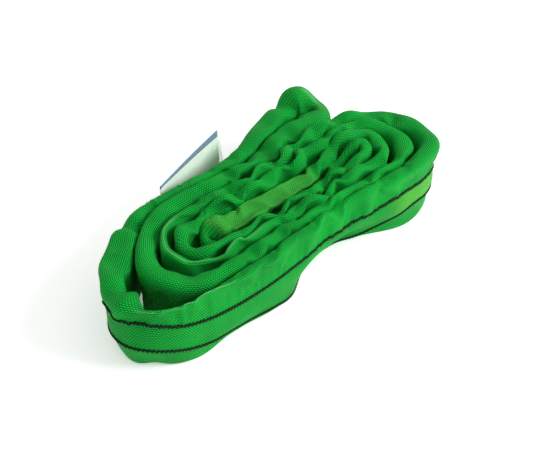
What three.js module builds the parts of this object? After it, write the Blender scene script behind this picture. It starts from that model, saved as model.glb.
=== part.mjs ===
// A two-tonne polyester round sling, laid double and wound up on edge for storage.
// Millimetres, +Z up. The coil stands on z = 0 and its long axis is X.
import * as THREE from "three";

// Driving dimensions
const FLAT_WIDTH = 55; // the woven sleeve, pressed flat
const WALL = 1.1; // its wall
const LAP_END = 1; // the route point where the sleeve's tucked first end comes out of its last
const MOUTH = 0.97; // the last end stops just short of it, in route points
const CLEARANCE = 0.35; // between pieces that touch
const FLAT = 0.42; // share of the tube's half thickness that lies flat at its folds
const ROUND = 0.8; // how far up the fold's rounding reaches, in half thicknesses
const MAX_TURN = THREE.MathUtils.degToRad(30); // of the route, from one section to the next
const LAYOUT_CENTRE = new THREE.Vector2(-21.8, -5.4); // middle of the layout, nearly

// Load core: endless bundles of straight yarn, one above the other
const BUNDLES = 4;
const BUNDLE_HEIGHT = 7.2;
const BUNDLE_STEP = 7.7;
const BUNDLE_BOTTOM = 7.9;
const BUNDLE_HALF_WIDTH = 2.4;

// Tracer threads, woven into furrows in the sleeve's outer face
const TRACER_HEIGHTS = [11, 28];
const FURROW_HALF_WIDTH = 1.4;
const FURROW_DEPTH = 0.8;

// Tape round the bundles where the yarn's ends are laid in, in route points before the joint
const TAPE_FROM = -4;
const TAPE_TO = -3;
const TAPE_GAP = 0.5;
const TAPE_THICK = 0.4;

// Sewing threads that close the sleeve's joint, in route points
const SEAMS = [0.08, 0.28];
const SEAM_HALF_WIDTH = 0.015;
const THREAD = 0.6;

// Label, sewn on by its folded tab and free to swing about the crease
const CREASE = new THREE.Vector2(-66.2, 30.25);
const LABEL_ANGLE = THREE.MathUtils.degToRad(17);
const LABEL_LENGTH = 70;
const LABEL_BOTTOM = 3;
const LABEL_HEIGHT = 47;
const LABEL_THICK = 0.5;
const TAB_LENGTH = 11;
const TAB_THICK = 1;
const FILM_THICK = 0.3;
const FILM_START = 1.2;
const FILM_MARGIN = 3.5;
const FILM_OVERHANG = 0.5; // above and below the printed sheet

// The route of the sling's centre line: x, y and the thickness of the tube there.
// It starts at the sleeve's joint on the rear run and goes once round the endless loop.
const ROUTE = [
  // outer strand: rear run, left end, front run, right end
  [-45, 24.5, 9.5], [-78, 23.8, 10], [-89, 21, 11], [-101, 15, 12], [-114, 5, 12],
  [-126, -5, 12], [-137, -15, 12], [-143, -26, 12], [-143, -37, 12], [-136, -48, 11],
  [-122, -56, 10], [-105, -59.5, 9], [-85, -60.5, 8.5], [-60, -60.5, 8], [-35, -60, 8],
  [-12, -58.5, 7.4], [10, -58.5, 7.4], [35, -59.5, 8], [60, -59, 9], [80, -55, 10.5],
  [94, -47, 12], [100, -34, 12], [99, -20, 12], [93, -8, 11], [84, 1, 10],
  // second turn of the same strand
  [72, 5.5, 9.5], [58, 6, 9], [42, 4.8, 8.8], [25, 2.8, 8.5], [8, 0.2, 7.6],
  [-12, -0.3, 7.4], [-35, 0, 7.4], [-58, 0.4, 8], [-75, -0.4, 8.5], [-88, -5.5, 9],
  [-97, -15, 9], [-98.5, -26, 9], [-93, -36, 8.5], [-79, -41.5, 7.6], [-60, -42, 7.4],
  [-35, -41.6, 7.4], [-10, -41.6, 7.4], [12, -41.6, 7.4], [32, -41.5, 7.8],
  [49, -41, 8], [62, -37, 8.5], [69.5, -28.5, 9], [68, -18.5, 8.5], [56.5, -12.8, 8],
  [40, -14.4, 7.6], [20, -16.8, 7.4], [0, -17, 7.4], [-20, -16.8, 7.4],
  [-45, -16.6, 7.4], [-58, -16.6, 7.4],
  // inner bight
  [-66, -16.9, 7.4], [-69.8, -18.3, 7.4], [-71.2, -21, 7.4], [-69.8, -23.7, 7.4],
  // inner strand, back along the same turns
  [-66, -25.1, 7.4], [-58, -25.2, 7.4], [-45, -25, 7.4], [-20, -25, 7.4], [0, -25.2, 7.4],
  [20, -25, 7.4], [34, -24, 7.6], [46, -21.8, 7.6], [54, -22.6, 7.6], [57.4, -27, 7.6],
  [53, -31.6, 7.6], [44, -33, 7.6], [30, -33.2, 7.6], [10, -33.2, 7.4], [-12, -33.2, 7.4],
  [-35, -33.2, 7.4], [-58, -33.4, 7.4], [-74, -32.6, 7.4], [-84.5, -28.4, 8],
  [-88, -21.5, 8], [-84, -14.6, 8], [-74, -9.6, 7.4], [-58, -8, 7.4], [-35, -8.4, 7.4],
  [-12, -8.8, 7.4], [8, -8.6, 7.4], [25, -6.6, 8], [42, -4.8, 8], [58, -3.6, 8.5],
  [70, -5.5, 9], [80, -12, 10], [86, -22, 11], [85, -34, 11], [77, -44, 10],
  [62, -49, 9], [40, -50.4, 8], [15, -50, 7.4], [-10, -50, 7.4], [-35, -50.4, 7.6],
  [-60, -51.2, 8], [-82, -51.2, 8.5], [-98, -48.5, 9.5], [-109, -40, 10.5],
  [-114, -28, 10.5], [-112, -16, 10.5], [-104, -5.5, 10.5], [-93, 4, 11],
  [-80, 10.5, 11], [-65, 12.6, 11.5], [-42, 12.6, 11.5], [-20, 12, 11], [2, 13, 10.5],
  [22, 18, 12], [45, 22, 14], [64, 24, 15],
  // outer bight, then back to the joint
  [74, 28.5, 15], [77.5, 35.5, 15], [74, 42.5, 14],
  [64, 47, 14], [45, 42, 13], [22, 34.5, 12], [0, 27, 10], [-22, 23.8, 9],
];

const material = (color, roughness) =>
  new THREE.MeshStandardMaterial({ color, roughness, metalness: 0 });
const GREEN = material(0x1a9a3c, 0.85);
const YARN = material(0xe9e6da, 0.7);
const DARK = material(0x0d2a14, 0.9);
const PRINT = material(0xe8e8e2, 0.5);
const CLEAR = material(0xd6e6dc, 0.2);
const THREAD_GREEN = material(0x2f8f45, 0.8);
const TAPE = material(0xd8cfae, 0.6);

const curve = new THREE.CatmullRomCurve3(
  ROUTE.map(([x, y]) => new THREE.Vector3(x, y, 0)), true, "centripetal",
);

// Where the route is, which way is its outer side, and how thick the tube is, u points along.
function stationAt(u) {
  const whole = ((u % ROUTE.length) + ROUTE.length) % ROUTE.length;
  const from = Math.floor(whole);
  const part = whole - from;
  const place = curve.getPoint(whole / ROUTE.length);
  const along = curve.getTangent(whole / ROUTE.length);
  const thick = THREE.MathUtils.lerp(ROUTE[from][2], ROUTE[(from + 1) % ROUTE.length][2], part);
  return { u, x: place.x, y: place.y, rightX: along.y, rightY: -along.x, along, thick };
}

// Stations from one point of the route to another, closer together where it turns.
function stations(start, end) {
  const made = [];
  let to = start;
  while (to < end) {
    const from = to;
    to = Math.min(Math.floor(from) + 1, end);
    const middle = (from + to) / 2;
    const turn = stationAt(from).along.angleTo(stationAt(middle).along)
      + stationAt(middle).along.angleTo(stationAt(to).along);
    const steps = Math.max(1, Math.ceil(turn / MAX_TURN));
    for (let step = 0; step < steps; step += 1) {
      made.push(stationAt(from + ((to - from) * step) / steps));
    }
  }
  return [...made, stationAt(end)];
}

// The section's points run once round, as [out, up]: out is towards the outer side.
function outerSection({ thick }, inset = 0) {
  const half = thick / 2 - inset;
  const low = inset;
  const high = heightOf(thick) - inset;
  const furrows = TRACER_HEIGHTS.flatMap((height) => [
    [half, height - FURROW_HALF_WIDTH],
    [half - FURROW_DEPTH, height],
    [half, height + FURROW_HALF_WIDTH],
  ]);
  return [
    [FLAT * half, low], [half, low + ROUND * half], ...furrows,
    [half, high - ROUND * half], [FLAT * half, high], [-FLAT * half, high],
    [-half, high - ROUND * half], [-half, low + ROUND * half], [-FLAT * half, low],
  ];
}

function innerSection({ thick }, inset = 0) {
  const half = thick / 2 - inset - WALL;
  const low = inset + WALL;
  const high = heightOf(thick) - inset - WALL;
  return [
    [FLAT * half, low], [half, low + ROUND * half],
    [half, high - ROUND * half], [FLAT * half, high], [-FLAT * half, high],
    [-half, high - ROUND * half], [-half, low + ROUND * half], [-FLAT * half, low],
  ];
}

// The fabric keeps its girth, so a thicker tube stands lower.
function heightOf(thick) {
  return FLAT_WIDTH - (Math.PI / 2 - 1) * thick;
}

const placed = ({ x, y, rightX, rightY }, [out, up]) => [x + rightX * out, y + rightY * out, up];

// Joins rings of points into a closed surface; grid[ring][point], both directions may close.
function skin(positions, faces, grid, closed, inwards = false) {
  const first = positions.length / 3;
  const width = grid[0].length;
  grid.flat().forEach((point) => positions.push(...point));
  const last = closed ? grid.length : grid.length - 1;
  for (let ring = 0; ring < last; ring += 1) {
    for (let point = 0; point < width; point += 1) {
      const next = (point + 1) % width;
      const ringAfter = (ring + 1) % grid.length;
      const corners = [[ring, point], [ring, next], [ringAfter, next], [ringAfter, point]]
        .map(([r, p]) => first + r * width + p);
      const [a, b, c, d] = inwards ? corners.toReversed() : corners;
      faces.push(a, c, b, a, d, c);
    }
  }
  return first;
}

function solid(name, positions, faces, look) {
  const geometry = new THREE.BufferGeometry();
  geometry.setAttribute("position", new THREE.Float32BufferAttribute(positions, 3));
  geometry.setIndex(faces);
  geometry.computeVertexNormals();
  const mesh = new THREE.Mesh(geometry, look);
  mesh.name = name;
  return mesh;
}

// The ring-shaped face at an end of the sleeve; facing is 1 at its start and -1 at its end.
function endFace(faces, outerFirst, outer, innerFirst, inner, facing) {
  const points = [...outer, ...inner].map(([out, up]) => new THREE.Vector2(out, up));
  const index = (k) => (k < outer.length ? outerFirst + k : innerFirst + k - outer.length);
  const holes = inner.length ? [points.slice(outer.length)] : [];
  const triangles = THREE.ShapeUtils.triangulateShape(points.slice(0, outer.length), holes);
  for (const triangle of triangles) {
    const [a, b, c] = triangle.map((k) => points[k]);
    const turn = b.clone().sub(a).cross(c.clone().sub(a)) * facing;
    faces.push(...(turn > 0 ? triangle : triangle.toReversed()).map(index));
  }
}

// The sleeve: one woven tube, its first end tucked into its last.
function sleeve() {
  const tucked = stations(0, LAP_END).map((s) => ({ s, inset: WALL + CLEARANCE }));
  const full = stations(LAP_END + 1, ROUTE.length + MOUTH).map((s) => ({ s, inset: 0 }));
  const run = [...tucked, ...full];
  const positions = [];
  const faces = [];
  const outer = run.map(({ s, inset }) => outerSection(s, inset));
  const inside = run.map(({ s, inset }) => innerSection(s, inset));
  const outerGrid = run.map(({ s }, i) => outer[i].map((p) => placed(s, p)));
  const innerGrid = run.map(({ s }, i) => inside[i].map((p) => placed(s, p)));
  const a = skin(positions, faces, outerGrid, false);
  const b = skin(positions, faces, innerGrid, false, true);
  const last = run.length - 1;
  endFace(faces, a, outer[0], b, inside[0], 1);
  endFace(faces, a + last * outer[0].length, outer[last], b + last * inside[0].length, inside[last], -1);
  return solid("cover_sleeve", positions, faces, GREEN);
}

// A thread or bundle that follows the whole loop and closes on itself.
function endless(name, section, look) {
  const positions = [];
  const faces = [];
  const grid = stations(0, ROUTE.length).slice(0, -1).map((s) => section(s).map((p) => placed(s, p)));
  skin(positions, faces, grid, true);
  return solid(name, positions, faces, look);
}

function bundle(index) {
  const low = BUNDLE_BOTTOM + index * BUNDLE_STEP;
  const high = low + BUNDLE_HEIGHT;
  const section = ({ u, thick }) => {
    const tuck = u <= LAP_END ? WALL + CLEARANCE : 0;
    const half = Math.min(BUNDLE_HALF_WIDTH, thick / 2 - WALL - tuck - CLEARANCE);
    return [[half, low], [half, high], [-half, high], [-half, low]];
  };
  return endless(`core_bundle_${index + 1}`, section, YARN);
}

function tracer(index) {
  const height = TRACER_HEIGHTS[index];
  const section = ({ thick }) => [
    [thick / 2 - 0.3, height], [thick / 2 + 0.15, height - 0.75], [thick / 2 + 0.15, height + 0.75],
  ];
  return endless(`tracer_${index === 0 ? "lower" : "upper"}`, section, DARK);
}

// A thread sewn round the lapped ends; it is open underneath, where the sleeve rests.
function seam(index) {
  const at = ROUTE.length + SEAMS[index];
  const ends = [at - SEAM_HALF_WIDTH, at + SEAM_HALF_WIDTH].map(stationAt);
  const arch = (gap) => ({ thick }) => {
    const half = thick / 2 + gap;
    const high = heightOf(thick) + gap;
    return [
      [half, THREAD], [half, high - ROUND * half], [FLAT * half, high],
      [-FLAT * half, high], [-half, high - ROUND * half], [-half, THREAD],
    ];
  };
  const [near, far] = [arch(CLEARANCE), arch(CLEARANCE + THREAD)];
  const positions = [];
  const faces = [];
  const loop = ends.map((s) => [...far(s), ...near(s).toReversed()].map((p) => placed(s, p)));
  skin(positions, faces, loop, false);
  const contour = [...far(ends[0]), ...near(ends[0]).toReversed()];
  endFace(faces, 0, contour, contour.length, [], 1);
  endFace(faces, contour.length, contour, 0, [], -1);
  return solid(`closing_seam_${index + 1}`, positions, faces, THREAD_GREEN);
}

// A turn of tape round the stack of bundles.
function tape() {
  const ends = [ROUTE.length + TAPE_FROM, ROUTE.length + TAPE_TO].map(stationAt);
  const top = BUNDLE_BOTTOM + (BUNDLES - 1) * BUNDLE_STEP + BUNDLE_HEIGHT;
  const box = (gap) => {
    const half = BUNDLE_HALF_WIDTH + gap;
    const low = BUNDLE_BOTTOM - gap;
    return [[half, low], [half, top + gap], [-half, top + gap], [-half, low]];
  };
  const [near, far] = [box(TAPE_GAP), box(TAPE_GAP + TAPE_THICK)];
  const positions = [];
  const faces = [];
  const a = skin(positions, faces, ends.map((s) => far.map((p) => placed(s, p))), false);
  const b = skin(positions, faces, ends.map((s) => near.map((p) => placed(s, p))), false, true);
  endFace(faces, a, far, b, near, 1);
  endFace(faces, a + far.length, far, b + near.length, near, -1);
  return solid("core_tape", positions, faces, TAPE);
}

// An upright plate: its outline in plan, raised from bottom to bottom + height.
function upright(name, outline, bottom, height, look) {
  const shape = new THREE.Shape(outline.map(([x, y]) => new THREE.Vector2(x, y)));
  const plate = new THREE.ExtrudeGeometry(shape, { depth: height, bevelEnabled: false });
  const mesh = new THREE.Mesh(plate, look);
  mesh.position.z = bottom;
  mesh.name = name;
  return mesh;
}

const rectangle = (x0, x1, y0, y1) => [[x0, y0], [x1, y0], [x1, y1], [x0, y1]];

// The tab is hemmed double and sewn flat on the sleeve, beside the crease.
function labelTab() {
  const middle = -CLEARANCE - TAB_LENGTH / 2;
  const outerFace = TAB_THICK / 2;
  const tab = upright(
    "label_tab", rectangle(-CLEARANCE - TAB_LENGTH, -CLEARANCE, -outerFace, outerFace),
    LABEL_BOTTOM, LABEL_HEIGHT - 4, PRINT,
  );
  const half = THREAD / 2;
  const behind = outerFace + CLEARANCE;
  const stitching = upright(
    "label_stitching", rectangle(middle - half, middle + half, behind, behind + THREAD),
    LABEL_BOTTOM + 2, LABEL_HEIGHT - 8, THREAD_GREEN,
  );
  const group = new THREE.Group().add(tab, stitching);
  group.position.set(CREASE.x, CREASE.y - 0.2, 0);
  group.rotation.z = THREE.MathUtils.degToRad(0.8);
  return group;
}

// The printed sheet and the clear film folded round its free end.
function labelFlap() {
  const half = LABEL_THICK / 2;
  const near = half + CLEARANCE;
  const far = near + FILM_THICK;
  const end = LABEL_LENGTH + FILM_MARGIN;
  const film = [
    [FILM_START, -far], [end, -far], [end, far], [FILM_START, far],
    [FILM_START, near], [end - FILM_THICK, near], [end - FILM_THICK, -near], [FILM_START, -near],
  ];
  const sheet = rectangle(CLEARANCE, LABEL_LENGTH, -half, half);
  const bottom = LABEL_BOTTOM - FILM_OVERHANG;
  const group = new THREE.Group().add(
    upright("label_sheet", sheet, LABEL_BOTTOM, LABEL_HEIGHT, PRINT),
    upright("label_film", film, bottom, LABEL_HEIGHT + 2 * FILM_OVERHANG, CLEAR),
  );
  group.position.set(CREASE.x, CREASE.y, 0);
  group.rotation.z = LABEL_ANGLE;
  return group;
}

const sling = new THREE.Group();
sling.position.set(-LAYOUT_CENTRE.x, -LAYOUT_CENTRE.y, 0);
sling.add(sleeve(), tape(), labelTab(), labelFlap());
SEAMS.forEach((_, index) => sling.add(seam(index)));
TRACER_HEIGHTS.forEach((_, index) => sling.add(tracer(index)));
for (let index = 0; index < BUNDLES; index += 1) sling.add(bundle(index));

export default sling;
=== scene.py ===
"""A two-tonne polyester round sling: the woven sleeve, its tracer threads, core, seams and label."""
import math

import bmesh
import bpy
import numpy as np
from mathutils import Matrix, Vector


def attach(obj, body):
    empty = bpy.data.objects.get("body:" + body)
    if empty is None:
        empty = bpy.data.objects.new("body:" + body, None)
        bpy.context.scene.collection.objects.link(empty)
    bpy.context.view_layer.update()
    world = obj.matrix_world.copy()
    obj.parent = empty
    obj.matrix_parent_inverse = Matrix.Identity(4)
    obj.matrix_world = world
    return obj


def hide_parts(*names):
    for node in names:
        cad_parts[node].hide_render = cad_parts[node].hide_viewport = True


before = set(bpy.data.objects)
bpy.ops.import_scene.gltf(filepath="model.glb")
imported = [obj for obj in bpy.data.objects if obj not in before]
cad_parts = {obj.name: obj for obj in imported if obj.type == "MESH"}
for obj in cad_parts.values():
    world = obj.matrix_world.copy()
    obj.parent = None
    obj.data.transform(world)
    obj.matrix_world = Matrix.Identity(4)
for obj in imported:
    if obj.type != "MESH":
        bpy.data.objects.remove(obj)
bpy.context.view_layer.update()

MM = 0.001
CENTRE = (-21.91, -5.39)  # middle of the route's own box, mm

# The route of the sling's centre line, mm: x, y, thickness of the tube there.
ROUTE = [
    # outer strand: rear run, left end, front run, right end
    (-45, 24.5, 9.5), (-78, 23.8, 10), (-89, 21, 11), (-101, 15, 12), (-114, 5, 12),
    (-126, -5, 12), (-137, -15, 12), (-143, -26, 12), (-143, -37, 12), (-136, -48, 11),
    (-122, -56, 10), (-105, -59.5, 9), (-85, -60.5, 8.5), (-60, -60.5, 8), (-35, -60, 8),
    (-12, -58.5, 7.4), (10, -58.5, 7.4), (35, -59.5, 8), (60, -59, 9), (80, -55, 10.5),
    (94, -47, 12), (100, -34, 12), (99, -20, 12), (93, -8, 11), (84, 1, 10),
    # second turn of the same strand
    (72, 5.5, 9.5), (58, 6, 9), (42, 4.8, 8.8), (25, 2.8, 8.5), (8, 0.2, 7.6),
    (-12, -0.3, 7.4), (-35, 0, 7.4), (-58, 0.4, 8), (-75, -0.4, 8.5), (-88, -5.5, 9),
    (-97, -15, 9), (-98.5, -26, 9), (-93, -36, 8.5), (-79, -41.5, 7.6), (-60, -42, 7.4),
    (-35, -41.6, 7.4), (-10, -41.6, 7.4), (12, -41.6, 7.4), (32, -41.5, 7.8),
    (49, -41, 8), (62, -37, 8.5), (69.5, -28.5, 9), (68, -18.5, 8.5), (56.5, -12.8, 8),
    (40, -14.4, 7.6), (20, -16.8, 7.4), (0, -17, 7.4), (-20, -16.8, 7.4),
    (-45, -16.6, 7.4), (-58, -16.6, 7.4),
    # inner bight
    (-66, -16.9, 7.4), (-69.8, -18.3, 7.4), (-71.2, -21, 7.4), (-69.8, -23.7, 7.4),
    # inner strand, back along the same turns
    (-66, -25.1, 7.4), (-58, -25.2, 7.4), (-45, -25, 7.4), (-20, -25, 7.4), (0, -25.2, 7.4),
    (20, -25, 7.4), (34, -24, 7.6), (46, -21.8, 7.6), (54, -22.6, 7.6), (57.4, -27, 7.6),
    (53, -31.6, 7.6), (44, -33, 7.6), (30, -33.2, 7.6), (10, -33.2, 7.4), (-12, -33.2, 7.4),
    (-35, -33.2, 7.4), (-58, -33.4, 7.4), (-74, -32.6, 7.4), (-84.5, -28.4, 8),
    (-88, -21.5, 8), (-84, -14.6, 8), (-74, -9.6, 7.4), (-58, -8, 7.4), (-35, -8.4, 7.4),
    (-12, -8.8, 7.4), (8, -8.6, 7.4), (25, -6.6, 8), (42, -4.8, 8), (58, -3.6, 8.5),
    (70, -5.5, 9), (80, -12, 10), (86, -22, 11), (85, -34, 11), (77, -44, 10),
    (62, -49, 9), (40, -50.4, 8), (15, -50, 7.4), (-10, -50, 7.4), (-35, -50.4, 7.6),
    (-60, -51.2, 8), (-82, -51.2, 8.5), (-98, -48.5, 9.5), (-109, -40, 10.5),
    (-114, -28, 10.5), (-112, -16, 10.5), (-104, -5.5, 10.5), (-93, 4, 11),
    (-80, 10.5, 11), (-65, 12.6, 11.5), (-42, 12.6, 11.5), (-20, 12, 11), (2, 13, 10.5),
    (22, 18, 12), (45, 22, 14), (64, 24, 15),
    # outer bight, then back to the joint
    (74, 28.5, 15), (77.5, 35.5, 15), (74, 42.5, 14),
    (64, 47, 14), (45, 42, 13), (22, 34.5, 12), (0, 27, 10), (-22, 23.8, 9),
]
POINTS = len(ROUTE)

CURVE_STEPS = 24  # of the curve between two route points
STEP = 2.6  # of the mesh along the sleeve, mm
FACE_ROWS = 12  # of the mesh up each face
CROWN_ROWS = 7  # over the top, and round the bottom

# How the section changes along the sleeve: (route point, value), mm.
CREST = [  # height of the top
    (0, 48.5), (2.4, 48.5), (2.85, 44), (3.25, 50), (4, 49.5), (6.5, 49), (7, 46.5), (7.4, 50.5),
    (8, 50.5), (8.5, 46), (10, 46.5), (12, 49), (15, 48), (15.8, 45.5), (16.6, 48), (20, 50),
    (22, 49.5), (25, 48.5), (28, 48), (45, 49), (49, 48), (50, 49), (53.5, 49.5), (54.6, 51.5),
    (55.3, 51.5), (55.7, 43), (57.5, 41), (59, 40), (64, 42), (66, 46), (68, 48), (76, 48),
    (100, 48), (110, 49), (112, 48), (113, 46.5), (113.8, 44.5), (114.8, 42.5), (115.4, 41.5),
    (115.7, 49), (116, 51.5), (116.5, 53.2), (117.1, 53.2), (117.3, 44), (117.5, 45), (117.75, 48),
    (118, 50.2), (119.5, 49.5), (120.8, 47.5), (121.4, 46.5),
]
CROWN = [  # width of the top, as a share of the thickness
    (0, 0.85), (1.6, 0.85), (2.4, 1.0), (2.85, 0.65), (3.25, 1.25), (4, 1.15), (6.5, 1.15),
    (7, 0.75), (7.4, 1.35), (8, 1.35), (8.5, 0.3), (11.4, 0.34), (12.6, 0.75), (18, 1.0), (24, 1.1),
    (32, 1.0), (33.5, 0.5), (38, 0.5), (40, 1.0), (49, 1.0), (50.3, 1.3), (52, 1.6), (54, 2.0),
    (55.2, 2.1), (55.9, 0.9), (94, 1.0), (97, 1.2), (103, 1.2), (105, 0.95), (109, 0.95),
    (111, 1.15), (113, 1.15), (114, 0.8), (115.4, 0.65), (115.9, 1.15), (117.1, 1.3), (117.35, 0.9),
    (117.8, 1.1), (119, 1.15),
]
ROOF = [  # height of the top's rounding
    (0, 6), (49, 6), (50.3, 2.4), (55.2, 2.4), (56, 6),
]
LEAN = [  # of the top, outwards
    (0, -0.9), (1.6, -0.9), (2.6, 0), (4, 0), (5.3, 1), (7, 0), (7.5, -2.5), (8, -4), (8.6, 0),
    (10, 1), (13, 0), (16, -2), (18, -1), (19.2, 1.5), (20, 5), (20.8, 1), (22, -1), (24.5, -1),
    (26, 0), (49, 0), (50.5, -3.4), (55, -3.8), (56, 0), (59, 0.6), (64, 0.6), (66, 0), (113, 0),
    (114.5, -0.5), (115.3, -1), (116, 1), (117, 0), (118, -0.5), (119.6, 0.5), (121, 1),
]
LUMPS = [  # how uneven the tops are, as a share of the most
    (0, 0), (1.8, 0), (5, 0.15), (6.5, 0.4), (8.6, 0), (12, 0), (14, 0.3), (16, 0.4), (18, 0.1),
    (21, 0.2), (24, 0.6), (26, 1), (30, 0.8), (32, 0.3), (38, 0.3), (41, 0.6), (45, 1), (48, 1),
    (50, 0.15), (55, 0.15), (57, 0.8), (61, 0.6), (64, 1), (72, 1), (74, 0.3), (78, 0.6), (82, 1),
    (86, 0.7), (91, 0.3), (97, 0.2), (104, 0.1), (109, 0.1), (111, 0.3), (113, 0.1), (119, 0.1),
]
TUCK = [  # of the bottom, outwards
    (0, -0.4), (1.6, -0.4), (2.4, 0), (5.5, 0), (7, -5.5), (7.8, -4), (8.4, -2.5), (8.9, -9),
    (9.5, -3), (10.7, -1.2), (11.7, -5.5), (12.5, -5), (13.1, -2.4), (13.9, -2.4), (14.2, -6),
    (14.6, -11), (15, -16), (15.5, -18.5), (16.4, -19), (16.7, -16), (17.2, -11), (17.75, -4.5),
    (18.1, -1), (18.5, 0), (24, 0), (38, 0), (39.8, -3), (40.6, -9), (42, -10), (43, -7), (44.5, 0),
    (61.5, 0), (62.5, 2), (63.5, 2), (65, 0), (70, 0), (71, 4.5), (72.5, 6), (73.4, 5.5),
    (74.4, 1.5), (75.5, 0), (92, 0), (93.2, 3), (94.2, 10), (95, 14), (96, 13.5), (97, 4), (98, 1),
    (100, 0),
]
TUCK_REACH = [  # how high the tuck reaches
    (0, 30), (5, 24), (8, 20), (10, 15), (13, 15), (14.2, 28), (17, 32), (21, 26), (24, 30),
]
BULGE = [  # of the outer face, outwards, at BULGE_HEIGHT
    (0, 0), (16.4, 0), (17.6, 3.2), (20, 3), (21.2, 0),
]
BULGE_HEIGHT = 21
BULGE_SPREAD = 7.5
WIDENS_FROM, WIDENS_OVER = 20, 25  # heights over which the body's width passes into the crown's
FOOT_HEIGHT = 24  # below it the body's width passes into the foot's
LEANS_FROM, LEANS_OVER = 18, 30
FOOT = [  # width of the bottom, as a share of the thickness
    (0, 1), (13, 1), (14.4, 0.55), (17, 0.55), (18.5, 1), (38, 1), (40, 0.55), (43, 0.55), (45, 1),
    (60, 1), (62, 0.7), (64, 0.7), (66, 1), (70, 1), (72, 0.55), (74, 0.55), (76, 1), (92, 1),
    (94, 0.55), (97, 0.55), (98.5, 1),
]
SLACK = [  # how much longer the cloth is than its route, in hundredths
    (0, 3), (4, 4), (6, 5), (7, 8), (8.4, 8), (9, 3), (12, 2.5), (14, 4), (17, 5), (18.5, 3),
    (20.5, 4), (22, 7), (25, 8), (27, 13), (30, 14), (32, 8), (34, 5), (38, 5), (41, 8), (44, 13),
    (48, 15), (49.5, 8), (50.5, 4), (54, 4), (56, 12), (60, 14), (64, 13), (66, 16), (70, 16),
    (72, 9), (75, 8), (78, 11), (82, 15), (86, 14), (88, 9), (92, 5), (97, 4), (106, 5), (110, 7),
    (112, 5), (114.5, 7), (117, 4), (119, 3),
]
TRACER_LOW = [  # heights of the two threads on the outer face
    (0, 11), (5.5, 12), (7, 18), (9, 18), (10, 14), (11, 10), (12, 6.5), (13, 4.5), (13.8, 1),
    (14.6, -1.8), (16.2, -1.8), (17.1, 3), (17.6, 13), (17.9, 20), (18.4, 21), (19, 18.5), (20, 15),
    (22, 12), (24, 11),
]
TRACER_HIGH = [
    (0, 28), (5, 28), (6, 33), (7, 36.5), (9, 36), (10, 32), (11, 29), (12, 27.5), (13, 27.3),
    (14, 29), (15, 31), (17, 31.5), (18, 32.5), (19, 31), (20, 29), (22, 28),
]
FILL_GAP = [  # between the filling's top and the sleeve's
    (0, 3.5), (24, 3.5), (27, 7), (45, 9), (50, 5), (55, 5), (58, 8), (96, 7), (100, 3.5),
    (118, 3.5),
]
HELD_BELOW = [  # up to this height the cloth keeps its place
    (0, 46), (1.6, 46), (2.6, 30), (3.4, 16), (4.6, 18), (6, 33), (8.6, 35), (9.4, 32), (14, 28),
    (16, 22), (19, 30), (23, 18), (30, 14), (49.4, 14), (50.2, 36), (54.8, 36), (56, 14), (112, 14),
    (119, 16), (120.8, 36), (121.4, 46),
]


def periodic(keys, u):
    """The keyed value at route positions u, smooth and closed on itself."""
    at = np.array([k[0] for k in keys], float)
    value = np.array([k[1] for k in keys], float)
    return np.interp(u, at, value, period=POINTS)


def smooth(x):
    x = np.clip(x, 0, 1)
    return x * x * (3 - 2 * x)


# ---------------------------------------------------------------- camera
CAMERA_TARGET = (0.02191, 0.00539, 0)  # metres
CAMERA_AWAY = (-0.4179, -0.4482, 0.5142)  # from the target
CAMERA_LENS, CAMERA_SENSOR = 80, 36


def make_camera():
    data = bpy.data.cameras.new("camera")
    data.lens = CAMERA_LENS
    data.sensor_width = CAMERA_SENSOR
    data.clip_start = 0.01
    camera = bpy.data.objects.new("camera", data)
    bpy.context.collection.objects.link(camera)
    target = Vector(CAMERA_TARGET)
    camera.location = target + Vector(CAMERA_AWAY)
    camera.rotation_euler = (target - camera.location).to_track_quat("-Z", "Y").to_euler()
    bpy.context.scene.camera = camera


make_camera()


# ---------------------------------------------------------------- route
def catmull_rom(points):
    """Points of the closed centripetal Catmull-Rom curve, and each one's place among the given points."""
    fine, where = [], []
    for i in range(POINTS):
        p0, p1, p2, p3 = (points[(i + k) % POINTS] for k in (-1, 0, 1, 2))
        t = [0.0]
        for a, b in ((p0, p1), (p1, p2), (p2, p3)):
            t.append(t[-1] + np.linalg.norm(b - a) ** 0.5)
        for step in range(CURVE_STEPS):
            x = t[1] + (t[2] - t[1]) * step / CURVE_STEPS
            a1 = (t[1] - x) / (t[1] - t[0]) * p0 + (x - t[0]) / (t[1] - t[0]) * p1
            a2 = (t[2] - x) / (t[2] - t[1]) * p1 + (x - t[1]) / (t[2] - t[1]) * p2
            a3 = (t[3] - x) / (t[3] - t[2]) * p2 + (x - t[2]) / (t[3] - t[2]) * p3
            b1 = (t[2] - x) / (t[2] - t[0]) * a1 + (x - t[0]) / (t[2] - t[0]) * a2
            b2 = (t[3] - x) / (t[3] - t[1]) * a2 + (x - t[1]) / (t[3] - t[1]) * a3
            fine.append((t[2] - x) / (t[2] - t[1]) * b1 + (x - t[1]) / (t[2] - t[1]) * b2)
            where.append(i + step / CURVE_STEPS)
    return np.array(fine), np.array(where + [POINTS])


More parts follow.
